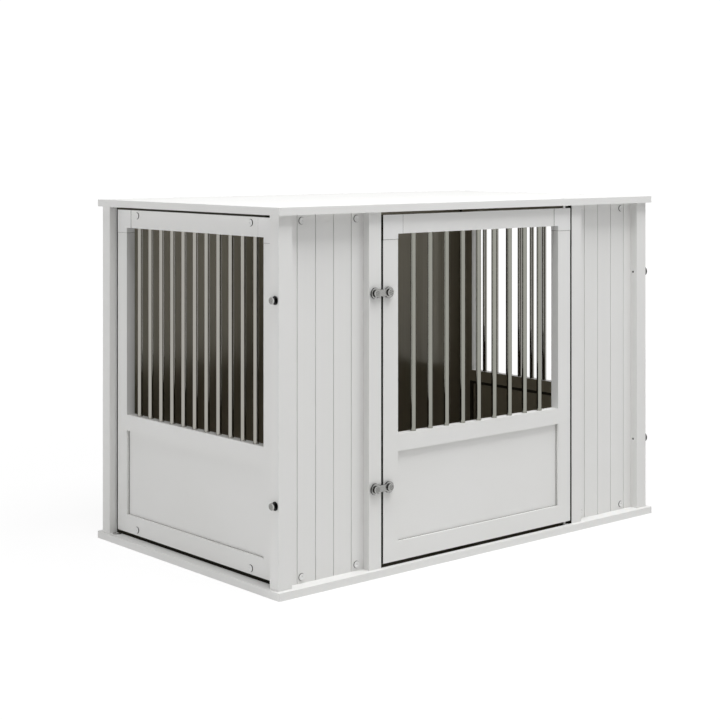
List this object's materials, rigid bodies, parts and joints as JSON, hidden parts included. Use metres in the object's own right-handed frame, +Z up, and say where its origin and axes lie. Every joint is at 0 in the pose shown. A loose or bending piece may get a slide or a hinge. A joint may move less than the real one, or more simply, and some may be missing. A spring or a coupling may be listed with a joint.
{
  "type": "pet crate",
  "caption": "Furniture-style pet crate: a white boarded cabin under a flat top, with hinged barred doors at the front and one side, each held by swinging latch hooks.",
  "frame": {"origin": "centre of the base board's underside", "axes": "+X along the crate's width, towards the side door; +Y towards the back; +Z up"},
  "size_m": [0.9868, 0.575, 0.6615],
  "materials": {
    "white_paint": "satin",
    "white_plastic": "satin",
    "dark_back": "matte",
    "pine": "matte",
    "steel_tube": "satin",
    "polished_steel": "polished"
  },
  "bodies": {
    "crate": {"top_board": "white_paint", "base_board": "white_paint", "front_left_post": "white_paint", "front_right_post": "white_paint", "rear_left_post": "white_paint", "rear_right_post": "white_paint", "latch_post": "white_paint", "hinge_post": "white_paint", "left_grooved_board": "white_paint", "right_grooved_board": "white_paint", "back_board": "dark_back", "top_cleats": "dark_back", "base_cleats": "dark_back", "left_front_stile": "white_paint", "left_rear_stile": "white_paint", "left_top_rail": "white_paint", "left_middle_rail": "white_paint", "left_bottom_rail": "white_paint", "left_lower_board": "white_paint", "left_tubes": "steel_tube", "left_corner_blocks": "white_plastic", "left_dowels": "pine", "post_dowels": "pine", "panel_screws": "polished_steel", "screw_caps": "white_plastic", "top_pivot_bushes": "polished_steel", "base_pivot_bushes": "polished_steel", "pivot_caps": "white_plastic", "post_latch_studs": "polished_steel", "spare_studs": "polished_steel", "post_stud_washers": "polished_steel"},
    "front_door": {"front_door_latch_stile": "white_paint", "front_door_hinge_stile": "white_paint", "front_door_top_rail": "white_paint", "front_door_middle_rail": "white_paint", "front_door_bottom_rail": "white_paint", "front_door_lower_board": "white_paint", "front_door_tubes": "steel_tube", "front_door_corner_blocks": "white_plastic", "front_door_dowels": "pine", "front_door_pivot_pins": "polished_steel", "front_door_latch_studs": "polished_steel", "front_door_stud_washers": "polished_steel"},
    "side_door": {"side_door_latch_stile": "white_paint", "side_door_hinge_stile": "white_paint", "side_door_top_rail": "white_paint", "side_door_middle_rail": "white_paint", "side_door_bottom_rail": "white_paint", "side_door_lower_board": "white_paint", "side_door_tubes": "steel_tube", "side_door_corner_blocks": "white_plastic", "side_door_dowels": "pine", "side_door_pivot_pins": "polished_steel", "side_door_latch_studs": "polished_steel", "side_door_stud_washers": "polished_steel"},
    "front_upper_hook": {"front_upper_latch_hook": "polished_steel"},
    "front_lower_hook": {"front_lower_latch_hook": "polished_steel"},
    "side_upper_hook": {"side_upper_latch_hook": "polished_steel"},
    "side_lower_hook": {"side_lower_latch_hook": "polished_steel"}
  },
  "joints": [
    {"name": "front_door_hinge", "type": "hinge", "parent": "crate", "child": "front_door", "pos_m": [0.24025, -0.2685, 0.0135], "axis": [0, 0, 1], "range_deg": [0, 105]},
    {"name": "side_door_hinge", "type": "hinge", "parent": "crate", "child": "side_door", "pos_m": [0.475, 0.23925, 0.0135], "axis": [0, 0, 1], "range_deg": [0, 105]},
    {"name": "front_upper_hook_pivot", "type": "hinge", "parent": "front_door", "child": "front_upper_hook", "pos_m": [-0.23785, -0.2808, 0.503], "axis": [0, 1, 0], "range_deg": [0, 270]},
    {"name": "front_lower_hook_pivot", "type": "hinge", "parent": "front_door", "child": "front_lower_hook", "pos_m": [-0.23785, -0.2808, 0.156], "axis": [0, 1, 0], "range_deg": [0, 270]},
    {"name": "side_upper_hook_pivot", "type": "hinge", "parent": "side_door", "child": "side_upper_hook", "pos_m": [0.4873, -0.2353, 0.503], "axis": [-1, 0, 0], "range_deg": [0, 270]},
    {"name": "side_lower_hook_pivot", "type": "hinge", "parent": "side_door", "child": "side_lower_hook", "pos_m": [0.4873, -0.2353, 0.156], "axis": [-1, 0, 0], "range_deg": [0, 270]}
  ]
}
